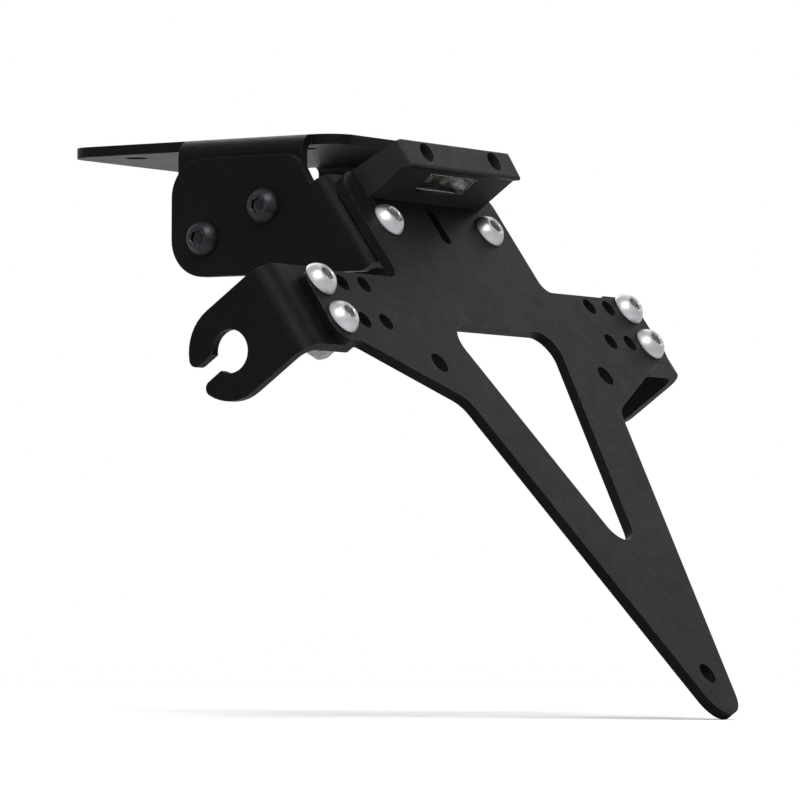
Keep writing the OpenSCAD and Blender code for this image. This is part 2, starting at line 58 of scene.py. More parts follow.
# Places and sizes that the source of the part gives, in millimetres
LEAN = math.radians(35)
NECK_TOP = 173
NECK_TOP_X = 51.3
NECK_TOP_Z = -11.1
FOOT = Vector((NECK_TOP_X + NECK_TOP * math.sin(LEAN), 0, NECK_TOP_Z - NECK_TOP * math.cos(LEAN)))
SHEET = 3
CHEEK_GAP = 0.2
WING_HOLE = 81
WING_ROWS = (118.1, 131.0)
NECK_SCREW = 26.3
NECK_SCREW_RISE = 155.8
CHEEK_FACE = 40.5
CHEEK_SCREWS = ((28, -20.5), (7, -29))
LAMP_SCREW = 17.7
LAMP_SCREW_RISE = 167.6
LAMP_SEAT = 12.5
BRACKET_BACK = -6
WASHER = 1.6
NUT = 5
THREAD_END = 1.5
LAMP_WASHER = 0.5
LAMP_NUT = 2.4
LAMP_CABLE_RISE = 169.0
LAMP_FLOOR = 164.0
LENS_W = 25
LENS_T = 1.6
LENS_BACK = 4.7
LENS_FRONT = 12.7
LED_SIZE = 2.8
LED_H = 1.1
LED_SEAT = 168.7
LED_PITCH = 23 / 3


# Camera, at the photograph's viewpoint and turned to the part
CAMERA_AT = Vector((0.95308, -1.36565, -0.14634))
AIM_AT = Vector((0.052, -0.006, -0.075))
CAMERA_UP = Vector((0.02222, -0.03769, 0.99904))
camera_data = bpy.data.cameras.new("camera")
camera_data.sensor_width = 36
camera_data.lens = 256.5
camera_data.clip_start = 0.05
camera_data.clip_end = 60
camera = bpy.data.objects.new("camera", camera_data)
scene.collection.objects.link(camera)
scene.camera = camera
view_back = (CAMERA_AT - AIM_AT).normalized()
view_right = CAMERA_UP.cross(view_back).normalized()
view_up = view_back.cross(view_right)
view_axes = Matrix((view_right, view_up, view_back)).transposed().to_4x4()
camera.matrix_world = Matrix.Translation(CAMERA_AT) @ view_axes

scene.view_settings.view_transform = "Standard"


class Shader:
    """A material with a principled shader, and short names for the nodes that feed it."""

    # Sockets of the mix node that carry colours, which share their names with its other sockets
    MIX_A = 6
    MIX_B = 7
    MIX_RESULT = 2
    # Cosine between a face's own normal and the rounded one, on a flat face and on an edge
    FLAT_COSINE = 0.995
    EDGE_COSINE = 0.82

    def __init__(self, name):
        self.material = bpy.data.materials.new(name)
        self.material.use_nodes = True
        self.tree = self.material.node_tree
        self.tree.nodes.clear()
        self.output = self.tree.nodes.new("ShaderNodeOutputMaterial")
        self.main = self.tree.nodes.new("ShaderNodeBsdfPrincipled")
        self.link(self.main.outputs["BSDF"], self.output.inputs["Surface"])
        self.place = self.tree.nodes.new("ShaderNodeTexCoord").outputs["Object"]

    def link(self, source, target):
        self.tree.links.new(source, target)

    def feed(self, target, value):
        if isinstance(value, bpy.types.NodeSocket):
            self.link(value, target)
        else:
            target.default_value = value

    def set(self, **values):
        for name, value in values.items():
            self.feed(self.main.inputs[name.replace("_", " ")], value)

    def math(self, operation, a, b):
        node = self.tree.nodes.new("ShaderNodeMath")
        node.operation = operation
        self.feed(node.inputs[0], a)
        self.feed(node.inputs[1], b)
        return node.outputs[0]

    def times(self, a, b):
        return self.math("MULTIPLY", a, b)

    def span(self, value, low, high, to_low=0.0, to_high=1.0):
        node = self.tree.nodes.new("ShaderNodeMapRange")
        self.feed(node.inputs["Value"], value)
        node.inputs["From Min"].default_value = low
        node.inputs["From Max"].default_value = high
        node.inputs["To Min"].default_value = to_low
        node.inputs["To Max"].default_value = to_high
        return node.outputs["Result"]

    def mix(self, factor, a, b):
        node = self.tree.nodes.new("ShaderNodeMix")
        node.data_type = "RGBA"
        self.feed(node.inputs["Factor"], factor)
        self.feed(node.inputs[self.MIX_A], a)
        self.feed(node.inputs[self.MIX_B], b)
        return node.outputs[self.MIX_RESULT]

    def noise(self, size_mm, detail=2.0, rough=0.5):
        """Noise whose lumps are about size_mm wide."""
        node = self.tree.nodes.new("ShaderNodeTexNoise")
        node.inputs["Scale"].default_value = 1000 / size_mm
        node.inputs["Detail"].default_value = detail
        node.inputs["Roughness"].default_value = rough
        self.link(self.place, node.inputs["Vector"])
        return node.outputs["Fac"]

    def cells(self, size_mm, feature="F1"):
        """Distances in a field of cells about size_mm wide."""
        node = self.tree.nodes.new("ShaderNodeTexVoronoi")
        node.feature = feature
        node.inputs["Scale"].default_value = 1000 / size_mm
        self.link(self.place, node.inputs["Vector"])
        return node.outputs["Distance"]

    def from_axis(self):
        """Millimetres from the axis of a built piece, as its vertices carry them."""
        node = self.tree.nodes.new("ShaderNodeAttribute")
        node.attribute_name = "ring_mm"
        return node.outputs["Fac"]

    def bump(self, height, depth_mm, strength=1.0, under=None):
        node = self.tree.nodes.new("ShaderNodeBump")
        node.inputs["Strength"].default_value = strength
        node.inputs["Distance"].default_value = depth_mm * MM
        self.link(height, node.inputs["Height"])
        if under is not None:
            self.link(under, node.inputs["Normal"])
        return node.outputs["Normal"]

    def edges(self, radius_mm):
        """1 on edges, where the rounded normal leaves the face's own, and 0 on flat faces."""
        bevel = self.tree.nodes.new("ShaderNodeBevel")
        bevel.samples = 6
        bevel.inputs["Radius"].default_value = radius_mm * MM
        geometry = self.tree.nodes.new("ShaderNodeNewGeometry")
        dot = self.tree.nodes.new("ShaderNodeVectorMath")
        dot.operation = "DOT_PRODUCT"
        self.link(bevel.outputs["Normal"], dot.inputs[0])
        self.link(geometry.outputs["Normal"], dot.inputs[1])
        return self.span(dot.outputs["Value"], self.FLAT_COSINE, self.EDGE_COSINE)

    def upward(self, low, high):
        """1 where the face looks up."""
        geometry = self.tree.nodes.new("ShaderNodeNewGeometry")
        parts = self.tree.nodes.new("ShaderNodeSeparateXYZ")
        self.link(geometry.outputs["Normal"], parts.inputs[0])
        return self.span(parts.outputs["Z"], low, high)


def grey(level, tint=0.0):
    """A grey whose blue is higher by the share that tint gives."""
    return (level, level, level * (1 + tint), 1)


def powder_coat():
    """Black coat with fine grain, orange peel, cloudy tone, painted glints, dust on upper faces and worn
    edges.
    """
    s = Shader("powder_coat")
    grain = s.noise(0.32, detail=3, rough=0.62)
    peel = s.noise(1.1, detail=2, rough=0.55)
    drift = s.noise(34, detail=3, rough=0.55)
    speck = s.span(s.cells(0.75), 0.16, 0.05)
    chosen = s.span(s.noise(2.2, detail=1), 0.55, 0.66)
    tone = s.mix(s.span(drift, 0.35, 0.68), grey(0.0034, 0.03), grey(0.0056, 0.03))
    tone = s.mix(s.span(grain, 0.52, 0.78), tone, grey(0.012, 0.04))
    # Painted glints: bright specks in the coat's colour that stand in for glints of light
    painted_glint = s.times(speck, chosen)
    tone = s.mix(s.times(painted_glint, 0.55), tone, grey(0.08))
    dust = s.times(s.upward(0.25, 0.95), s.span(s.noise(5, detail=6, rough=0.72), 0.44, 0.78))
    tone = s.mix(s.times(dust, 0.10), tone, (0.12, 0.115, 0.105, 1))
    worn = s.times(s.edges(0.45), s.span(s.noise(2.6, detail=4, rough=0.7), 0.40, 0.66))
    tone = s.mix(s.times(worn, 0.45), tone, grey(0.11))
    rough = s.span(s.noise(6, detail=4, rough=0.6), 0.3, 0.7, 0.36, 0.43)
    rough = s.math("ADD", rough, s.times(grain, 0.10))
    fine = s.bump(grain, 0.035, 0.55)
    s.set(Base_Color=tone, Roughness=rough, Normal=s.bump(peel, 0.09, 0.9, under=fine))
    # Low, so that the coat stays dark although it mirrors the white background
    s.set(Specular_IOR_Level=0.05)
    return s.material


# Turning marks on the heads, as the angle that their sine runs through in a millimetre
TURNING_MARKS = 38.0


def bright_steel():
    """Bright steel of the screw heads, with turning marks, clouds and a little grime."""
    s = Shader("bright_steel")
    turned = s.math("SINE", s.times(s.from_axis(), TURNING_MARKS), 0.0)
    fine = s.noise(0.22, detail=3, rough=0.6)
    cloud = s.noise(4.5, detail=3)
    tone = s.mix(s.span(cloud, 0.3, 0.7), (0.34, 0.34, 0.35, 1), (0.46, 0.46, 0.47, 1))
    dark_patches = s.times(s.span(s.noise(1.1, detail=4, rough=0.65), 0.56, 0.72), 0.35)
    tone = s.mix(dark_patches, tone, (0.22, 0.21, 0.20, 1))
    rough = s.span(s.noise(1.8, detail=4, rough=0.6), 0.3, 0.7, 0.32, 0.46)
    normal = s.bump(turned, 0.004, 0.5, under=s.bump(fine, 0.01, 0.35))
    s.set(Base_Color=tone, Metallic=1.0, Roughness=rough, Normal=normal)
    return s.material


def dull_zinc():
    """Zinc plate on the nuts and washers, darker than the heads' steel, with darker patches and lighter
    rubbed edges.
    """
    s = Shader("dull_zinc")
    fine = s.noise(0.25, detail=4, rough=0.65)
    spangle = s.span(s.cells(1.3), 0.1, 0.7)
    tone = s.mix(spangle, (0.18, 0.18, 0.19, 1), (0.28, 0.28, 0.285, 1))
    # Darker patches over the zinc
    dark_patches = s.times(s.span(s.noise(1.6, detail=5, rough=0.7), 0.46, 0.68), 0.6)
    tone = s.mix(dark_patches, tone, (0.085, 0.080, 0.074, 1))
    rubbed = s.times(s.edges(0.3), s.span(s.noise(1.0, detail=3), 0.4, 0.6))
    tone = s.mix(s.times(rubbed, 0.6), tone, (0.55, 0.55, 0.56, 1))
    rough = s.span(s.noise(1.4, detail=4, rough=0.6), 0.3, 0.7, 0.38, 0.52)
    rough = s.math("ADD", rough, s.times(dark_patches, 0.25))
    s.set(Base_Color=tone, Metallic=1.0, Roughness=rough, Normal=s.bump(fine, 0.012, 0.5))
    return s.material


def black_steel():
    """Blackened steel, rubbed bright on its edges."""
    s = Shader("black_steel")
    fine = s.noise(0.3, detail=3, rough=0.6)
    cloud = s.noise(3.0, detail=4, rough=0.6)
    tone = s.mix(s.span(cloud, 0.3, 0.7), (0.008, 0.009, 0.011, 1), (0.024, 0.025, 0.028, 1))
    worn = s.times(s.edges(0.3), s.span(s.noise(1.2, detail=3), 0.4, 0.62))
    tone = s.mix(s.times(worn, 0.7), tone, (0.34, 0.34, 0.35, 1))
    rough = s.span(s.noise(1.5, detail=3), 0.3, 0.7, 0.30, 0.46)
    s.set(Base_Color=tone, Metallic=0.75, Roughness=rough, Normal=s.bump(fine, 0.012, 0.4))
    return s.material


def lamp_plastic():
    """Black moulded plastic with a leather grain, dust on upper faces and scuffed edges."""
    s = Shader("lamp_plastic")
    spark = s.noise(0.38, detail=2, rough=0.6)
    leather = s.cells(0.8)
    drift = s.noise(14, detail=3)
    tone = s.mix(s.span(drift, 0.35, 0.65), grey(0.015), grey(0.022))
    dust = s.times(s.upward(0.3, 0.95), s.span(s.noise(6, detail=5, rough=0.65), 0.42, 0.75))
    tone = s.mix(s.times(dust, 0.18), tone, (0.15, 0.145, 0.135, 1))
    scuff = s.times(s.edges(0.4), s.span(s.noise(2.0, detail=4, rough=0.7), 0.42, 0.68))
    tone = s.mix(s.times(scuff, 0.4), tone, grey(0.12))
    rough = s.span(s.noise(3.5, detail=4, rough=0.6), 0.3, 0.7, 0.42, 0.58)
    normal = s.bump(leather, 0.02, 0.35, under=s.bump(spark, 0.02, 0.4))
    s.set(Base_Color=tone, Roughness=rough, Normal=normal)
    # Low for the same reason as that of the coat
    s.set(Specular_IOR_Level=0.08)
    return s.material


def lamp_glass():
    """Smoky clear plastic with a light haze."""
    s = Shader("lamp_glass")
    haze = s.noise(0.9, detail=3)
    rough = s.span(haze, 0.3, 0.7, 0.06, 0.20)
    tone = s.mix(s.span(s.noise(5), 0.3, 0.7), (0.62, 0.65, 0.64, 1), (0.54, 0.57, 0.57, 1))
    s.set(Base_Color=tone, Roughness=rough, Normal=s.bump(haze, 0.01, 0.3))
    s.set(IOR=1.58, Transmission_Weight=1.0)
    return s.material


def seal_rubber():
    """Black rubber with a pale bloom."""
    s = Shader("seal_rubber")
    fine = s.noise(0.35, detail=4, rough=0.65)
    tone = s.mix(s.span(s.noise(3, detail=3), 0.3, 0.7), grey(0.012), grey(0.028))
    bloom = s.times(s.span(s.noise(1.4, detail=4, rough=0.7), 0.5, 0.72), 0.25)
    tone = s.mix(bloom, tone, grey(0.09))
    s.set(Base_Color=tone, Roughness=s.span(fine, 0.3, 0.7, 0.66, 0.85), Normal=s.bump(fine, 0.02, 0.5))
    return s.material


def circuit_board():
    """Dark green board with its traces under the lacquer."""
    s = Shader("circuit_board")
    mask = s.noise(1.6, detail=3)
    tone = s.mix(s.span(mask, 0.35, 0.65), (0.008, 0.022, 0.013, 1), (0.012, 0.032, 0.019, 1))
    trace = s.span(s.cells(2.4, feature="DISTANCE_TO_EDGE"), 0.05, 0.07)
    tone = s.mix(trace, (0.020, 0.060, 0.034, 1), tone)
    s.set(Base_Color=tone, Roughness=s.span(mask, 0.3, 0.7, 0.25, 0.4), Normal=s.bump(trace, 0.02, 0.6))
    return s.material


def led():
    """White case round a yellow well of phosphor."""
    s = Shader("led")
    phosphor = s.span(s.from_axis(), 1.12, 1.02)
    powder = s.noise(0.12, detail=3, rough=0.7)
    yellow = s.mix(s.span(powder, 0.3, 0.7), (0.90, 0.72, 0.14, 1), (0.95, 0.83, 0.30, 1))
    case = s.mix(s.span(s.noise(0.6), 0.3, 0.7), (0.84, 0.83, 0.80, 1), (0.90, 0.89, 0.87, 1))
    tone = s.mix(phosphor, case, yellow)
    rough = s.span(powder, 0.3, 0.7, 0.18, 0.34)
    s.set(Base_Color=tone, Roughness=rough, Normal=s.bump(powder, 0.006, 0.5))
    return s.material


MAKERS = (
    powder_coat, bright_steel, dull_zinc, black_steel, lamp_plastic,
    lamp_glass, seal_rubber, circuit_board, led
)
FINISH = {maker.__name__: maker() for maker in MAKERS}


# Frames in which the pieces are built: z out of the face that a fastener or the lamp stands on
ON_CARRIER = Matrix.Translation(FOOT) @ Matrix.Rotation(-LEAN, 4, "Y") @ Matrix((
    (0, 0, 1, 0), (1, 0, 0, 0), (0, 1, 0, 0), (0, 0, 0, 1)
))
TO_METRES = Matrix.Scale(MM, 4)


def on_carrier(across, up, out=0.0):
    """A place on the carrier's rear face, from the middle of its foot."""
    return ON_CARRIER @ Matrix.Translation((across, up, out))


def on_cheek(side, x, z):
    """A place on the outer face of a cheek."""
    return Matrix.Translation((x, side * CHEEK_FACE, z)) @ Matrix.Rotation(-side * math.pi / 2, 4, "X")


class Builder:
    """Collects rings of vertices into one mesh. Rings hold as many points as the first."""

    def __init__(self):
        self.mesh = bmesh.new()
        self.ring_mm = self.mesh.verts.layers.float.new("ring_mm")

    def ring(self, points, place):
        made = []
        for point in points:
            vertex = self.mesh.verts.new(TO_METRES @ place @ Vector(point))
            vertex[self.ring_mm] = math.hypot(point[0], point[1])
            made.append(vertex)
        return made

    def wall(self, lower, upper):
        count = len(lower)
        for i in range(count):
            j = (i + 1) % count
            self.mesh.faces.new((lower[i], lower[j], upper[j], upper[i]))

    def skin(self, rings, place, closed=False, capped=False):
        """Walls between neighbouring rings, and either a last wall back to the first ring or two caps."""
        made = [self.ring(points, place) for points in rings]
        for lower, upper in zip(made, made[1:]):
            self.wall(lower, upper)
        if closed:
            self.wall(made[-1], made[0])
        if capped:
            self.mesh.faces.new(list(reversed(made[0])))
            self.mesh.faces.new(made[-1])

    def finish(self, name, slot, stands_for, smooth_angle=32, finish=None):
        """Makes the mesh a piece in place of a node. Its finish is that of the slot where none is named."""
        bmesh.ops.recalc_face_normals(self.mesh, faces=self.mesh.faces)
        data = bpy.data.meshes.new(name)
        self.mesh.to_mesh(data)
        self.mesh.free()
        piece = bpy.data.objects.new(name, data)
        scene.collection.objects.link(piece)
        data.shade_smooth()
        data.set_sharp_from_angle(angle=math.radians(smooth_angle))
        data.materials.append(FINISH[finish or slot])
        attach(piece, "root")
        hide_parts(stands_for)


# Points round a fastener and round a washer
STEPS = 48
WASHER_STEPS = 64


def circle(radius, height, steps=STEPS):
    angles = [TAU * i / steps for i in range(steps)]
    return [(radius * math.cos(angle), radius * math.sin(angle), height) for angle in angles]


def hexagon(flats, height):
    """Points round a hexagon. The height may be a function of the radius."""
    points = []
    for i in range(STEPS):
        angle = TAU * i / STEPS
        from_flat = (angle % (TAU / 6)) - TAU / 12
        radius = flats / 2 / math.cos(from_flat)
        z = height(radius) if callable(height) else height
        points.append((radius * math.cos(angle), radius * math.sin(angle), z))
    return points


# Button heads, as shares of the head's height: its upright rim, the soft edge of its crown and its socket
RIM_SHARE = 0.12
CROWN_EDGE_SHARE = 0.06
SOCKET_DEPTH_SHARE = 0.6
# The flat crown as a share of the head's width
CROWN_SHARE = 0.28
# The socket's floor, as shares of its width: a drill point inside a low cone
DRILL_DEPTH_SHARE = 0.12
CONE_R_SHARE = 0.30
CONE_DEPTH_SHARE = 0.04
FLOOR_SHARE = 0.93
# Small edges of a screw, in millimetres
CHAMFER = 0.12
MOUTH_DEPTH = 0.32
SOFT_EDGE = 0.05
FILLET = 0.02
POINT_R = 0.05
# The dome's rings, and how far into its step the first one lies
DOME_RINGS = 9
DOME_START = 0.35
# The thread: its depth as a share of the pitch, its rings in a turn, how soon its crest turns flat,
# and the rings over which it runs out
THREAD_DEPTH = 0.58
THREAD_RINGS = 6
THREAD_CREST = 1.15
RUN_OUT_RINGS = 5
# The screw's end: its chamfer as a share of the shank's diameter, and what its last ring takes off as well,
# as a share of the thread's depth
END_SHARE = 0.1
END_CUT_SHARE = 0.6


def thread_rings(d, length, pitch, thread_from):
    """Rings of a thread from a depth on down to the chamfered end of the screw."""
    cut = pitch * THREAD_DEPTH
    rows = int((length - thread_from) / pitch * THREAD_RINGS)
    rings = []
    for k in range(1, rows + 1):
        z = -thread_from - (length - thread_from) * k / rows
        fade = min(1, k / RUN_OUT_RINGS)
        taper = max(0, -z - (length - d * END_SHARE))
        ring = []
        for i in range(STEPS):
            turn = (-z / pitch - i / STEPS) % 1
            crest = abs(turn - 0.5) * 2
            groove = cut * min(1, max(0, 1 - crest * THREAD_CREST))
            radius = min(d / 2 - groove * fade, d / 2 - taper)
            ring.append((radius * math.cos(TAU * i / STEPS), radius * math.sin(TAU * i / STEPS), z))
        rings.append(ring)
    rings.append(circle(d / 2 - d * END_SHARE - cut * END_CUT_SHARE, -length))
    return rings


def add_screw(builder, place, length, thread_from, d, pitch, head_d, head_h, socket):
    """A button head screw: its hexagon socket, its dome, its shank and a thread from a depth on."""
    rim = head_h * RIM_SHARE
    crown = head_d * CROWN_SHARE
    ball = ((head_d / 2) ** 2 - crown ** 2 + rim ** 2 - head_h ** 2) / (2 * (rim - head_h))
    ball_r = math.hypot(head_d / 2, rim - ball)
    floor = head_h - head_h * SOCKET_DEPTH_SHARE
    mouth = socket / math.sqrt(3) + CHAMFER
    rings = [
        circle(POINT_R, floor - socket * DRILL_DEPTH_SHARE),
        circle(socket * CONE_R_SHARE, floor - socket * CONE_DEPTH_SHARE),
        hexagon(socket * FLOOR_SHARE, floor),
        hexagon(socket, floor + CHAMFER),
        hexagon(socket, head_h - MOUTH_DEPTH),
        circle(mouth, head_h - SOFT_EDGE),
        circle(mouth + CHAMFER, head_h),
        circle(crown - head_h * CROWN_EDGE_SHARE, head_h)
    ]
    start = math.acos((head_h - ball) / ball_r)
    end = math.acos((rim - ball) / ball_r)
    for i in range(DOME_RINGS):
        angle = start + (end - start) * (i + DOME_START) / DOME_RINGS
        rings.append(circle(ball_r * math.sin(angle), ball + ball_r * math.cos(angle)))
    rings += [
        circle(head_d / 2 - FILLET, rim + FILLET),
        circle(head_d / 2, rim - SOFT_EDGE),
        circle(head_d / 2, CHAMFER),
        circle(head_d / 2 - CHAMFER, 0),
        circle(d / 2 + FILLET, 0),
        circle(d / 2, -FILLET),
        circle(d / 2, -thread_from)
    ]
    builder.skin(rings + thread_rings(d, length, pitch, thread_from), place, capped=True)


# Nuts: play of the bore, slope of the chamfer, its start as a share of the half width, and the countersink
NUT_PLAY = 0.06
NUT_SLOPE = math.tan(math.radians(28))
NUT_LAND = 0.97
NUT_SINK = 0.45


def add_nut(builder, place, flats, d, height):
    """A hexagon nut, chamfered and countersunk at both ends. z runs from its far end to the washer."""
    bore = d / 2 + NUT_PLAY
    land = flats / 2 * NUT_LAND

    def low(radius):
        return max(0.0, (radius - land) * NUT_SLOPE)

    def high(radius):
        return height - max(0.0, (radius - land) * NUT_SLOPE)

    rings = [
        circle(bore, NUT_SINK), circle(bore + NUT_SINK, 0), circle(land, 0), hexagon(flats, low),
        hexagon(flats, high), circle(land, height), circle(bore + NUT_SINK, height),
        circle(bore, height - NUT_SINK)
    ]
    builder.skin(rings, place, closed=True)


# Washers: the die's rounding at most, and as a share of the thickness
DIE_EDGE = 0.28
DIE_EDGE_SHARE = 0.3


def add_washer(builder, place, outer_d, inner_d, thickness):
    """A stamped washer: one edge rounded by the die, the other with a small burr chamfer."""
    bevel = min(DIE_EDGE, thickness * DIE_EDGE_SHARE)
    outer, inner = outer_d / 2, inner_d / 2
    profile = (
        (inner, bevel), (inner + bevel * 0.7, 0), (outer - bevel, 0), (outer - bevel * 0.3, bevel * 0.3),
        (outer, bevel), (outer, thickness - bevel * 0.5), (outer - bevel * 0.5, thickness),
        (inner + bevel * 0.5, thickness), (inner, thickness - bevel * 0.5)
    )
    builder.skin([circle(r, z, WASHER_STEPS) for r, z in profile], place, closed=True)


M6 = {"d": 6, "pitch": 1.0, "head_d": 10.5, "head_h": 3.3, "socket": 4}
M6_WASHER = {"outer_d": 12, "inner_d": 6.12, "thickness": WASHER}
M6_NUT = {"flats": 10, "d": 6, "height": NUT}
M3 = {"d": 3, "pitch": 0.5, "head_d": 5.4, "head_h": 2.1, "socket": 2}
M3_WASHER = {"outer_d": 7, "inner_d": 3.12, "thickness": LAMP_WASHER}
M3_NUT = {"flats": 5.5, "d": 3, "height": LAMP_NUT}
# Turns of the heads in radians, chosen so that they differ, and what makes each nut's turn differ from them
TURNS = (0.35, 1.22, 0.81, 0.12)
LAMP_TURNS = (0.5, 0.9)
NUT_TURN_FACTOR = 2.3
NUT_TURN_START = 0.4


def turned(turn):
    return Matrix.Rotation(turn, 4, "Z")


def raised(height):
    return Matrix.Translation((0, 0, height))


def fastener_set(name, places, slot, sheets):
    """The screws, washers and nuts of one group, each of the three as one piece in place of its node."""
    behind = "dull_zinc" if slot == "bright_steel" else slot
    screws, washers, nuts = Builder(), Builder(), Builder()
    length = sheets + WASHER + NUT + THREAD_END
    for place, turn in zip(places, TURNS):
        nut_turn = turned(turn * NUT_TURN_FACTOR + NUT_TURN_START)
        add_screw(screws, place @ turned(turn), length, sheets, **M6)
        add_washer(washers, place @ raised(-sheets - WASHER), **M6_WASHER)
        add_nut(nuts, place @ raised(-sheets - WASHER - NUT) @ nut_turn, **M6_NUT)
    screws.finish(name + "_screws_threaded", slot, name + "_screws")
    washers.finish(name + "_washers_stamped", slot, name + "_washers", finish=behind)
    nuts.finish(name + "_nuts_chamfered", slot, name + "_nuts", finish=behind)


for side, side_name in ((-1, "left_ear"), (1, "right_ear")):
    ear_places = [on_carrier(side * WING_HOLE, row) for row in WING_ROWS]
    fastener_set(side_name, ear_places, "bright_steel", 2 * SHEET)
neck_places = [on_carrier(side * NECK_SCREW, NECK_SCREW_RISE) for side in (-1, 1)]
fastener_set("neck", neck_places, "bright_steel", 2 * SHEET)
cheek_places = [on_cheek(side, x, z) for side in (-1, 1) for x, z in CHEEK_SCREWS]
fastener_set("cheek", cheek_places, "black_steel", 2 * SHEET + CHEEK_GAP)

lamp_screws, lamp_washers, lamp_nuts = Builder(), Builder(), Builder()
lamp_grip = LAMP_SEAT - BRACKET_BACK
lamp_screw_length = lamp_grip + LAMP_WASHER + LAMP_NUT + THREAD_END
for side, turn in zip((-1, 1), LAMP_TURNS):
    seat = on_carrier(side * LAMP_SCREW, LAMP_SCREW_RISE, LAMP_SEAT)
    add_screw(lamp_screws, seat @ turned(turn), lamp_screw_length, lamp_grip, **M3)
    back = on_carrier(side * LAMP_SCREW, LAMP_SCREW_RISE, BRACKET_BACK - LAMP_WASHER)
    add_washer(lamp_washers, back, **M3_WASHER)
    add_nut(lamp_nuts, back @ raised(-LAMP_NUT) @ turned(turn), **M3_NUT)
lamp_screws.finish("lamp_screws_threaded", "black_steel", "lamp_screws")
lamp_washers.finish("lamp_washers_stamped", "black_steel", "lamp_washers")
lamp_nuts.finish("lamp_nuts_chamfered", "black_steel", "lamp_nuts")


def add_slab(builder, place, grid_x, grid_y, low, high):
    """A closed slab over a grid. Two functions give the heights of its lower and upper face."""
    sheets = []
    for height in (low, high):
        rows = []
        for y in grid_y:
            rows.append(builder.ring([(x, y, height(x, y)) for x in grid_x], place))
        sheets.append(rows)
    lower, upper = sheets
    for rows in sheets:
        for row, following in zip(rows, rows[1:]):
            for i in range(len(grid_x) - 1):
                builder.mesh.faces.new((row[i], row[i + 1], following[i + 1], following[i]))
    borders = [(lower[0], upper[0]), (lower[-1], upper[-1])]
    borders.append(([row[0] for row in lower], [row[0] for row in upper]))
    borders.append(([row[-1] for row in lower], [row[-1] for row in upper]))
    for under, over in borders:
        for i in range(len(under) - 1):
            builder.mesh.faces.new((under[i], under[i + 1], over[i + 1], over[i]))


# The lens: a clear slab with a flat rim, and prisms moulded across its inner face
LENS_PLAY = 0.06
LENS_HALF = LENS_W / 2 - LENS_PLAY
LENS_RIM = 1.0
PRISM = 0.75
PRISM_DEPTH = 0.22
# The lens's outer edge: its width, its middle and its rise, and where the grid inside it starts
LENS_EDGE = 0.25
LENS_EDGE_MIDDLE = 0.12
LENS_EDGE_RISE = 0.18
LENS_INSET = 0.4
PRISM_GRID = 128
LENS_ROWS = 6
# How far the rows of the prisms stay inside the rim
RIM_STEP = 0.02


def lens_outer(x, y):
    edge = min(LENS_HALF - abs(x), y - LENS_BACK, LENS_FRONT - y)
    return LENS_EDGE_RISE * (1 - min(1, edge / LENS_EDGE))


def lens_inner(x, y):
    inside = min(LENS_HALF - abs(x), y - LENS_BACK, LENS_FRONT - y) > LENS_RIM
    phase = (x / PRISM) % 1
    return LENS_T - (PRISM_DEPTH * (1 - abs(2 * phase - 1)) if inside else 0)


def grid_line(low, high, inset, count):
    """Even steps between two edges, with closer lines on the edges themselves."""
    from_low, to_high = low + inset, high - inset
    inner = [from_low + (to_high - from_low) * i / count for i in range(count + 1)]
    lower = [low, low + LENS_EDGE_MIDDLE, low + LENS_EDGE]
    return lower + inner + [high - LENS_EDGE, high - LENS_EDGE_MIDDLE, high]


lens = Builder()
lens_x = grid_line(-LENS_HALF, LENS_HALF, LENS_INSET, PRISM_GRID)
lens_y = grid_line(LENS_BACK, LENS_FRONT, LENS_RIM - RIM_STEP, LENS_ROWS)
# Slab axes: x across, y out of the carrier and z up the sheet
LENS_PLACE = on_carrier(0, LAMP_FLOOR) @ Matrix(((1, 0, 0, 0), (0, 0, 1, 0), (0, 1, 0, 0), (0, 0, 0, 1)))
add_slab(lens, LENS_PLACE, lens_x, lens_y, lens_outer, lens_inner)
lens.finish("lamp_lens_moulded", "lamp_glass", "lamp_lens", smooth_angle=20)

# The diodes: a white case with a round well of phosphor, on the board's underside
LED_HALF = LED_SIZE / 2
LED_ROUNDING = 7
LED_EDGE_DROP = 0.12
LED_EDGE_INSET = 0.1
# Radii of the well's rings, and how far above the case's top each one lies
LED_WELL = ((1.14, 0), (1.08, -0.04), (1.0, -0.10), (0.6, -0.07), (0.05, -0.05))


def rounded_square(half, height):
    """Points round a square with round corners."""
    points = []
    for i in range(STEPS):
        angle = TAU * i / STEPS
        x, y = math.cos(angle), math.sin(angle)
        reach = (abs(x) ** LED_ROUNDING + abs(y) ** LED_ROUNDING) ** (-1 / LED_ROUNDING)
        points.append((half * reach * x, half * reach * y, height))
    return points


led_rings = [
    rounded_square(LED_HALF, 0),
    rounded_square(LED_HALF, LED_H - LED_EDGE_DROP),
    rounded_square(LED_HALF - LED_EDGE_INSET, LED_H)
]
led_rings += [circle(radius, LED_H + rise) for radius, rise in LED_WELL]
leds = Builder()
for i in (-1, 0, 1):
    seat = on_carrier(i * LED_PITCH, LED_SEAT, (LENS_BACK + LENS_FRONT) / 2)
    leds.skin(led_rings, seat @ Matrix.Rotation(math.pi / 2, 4, "X"), capped=True)
leds.finish("lamp_leds_domed", "led", "lamp_leds")

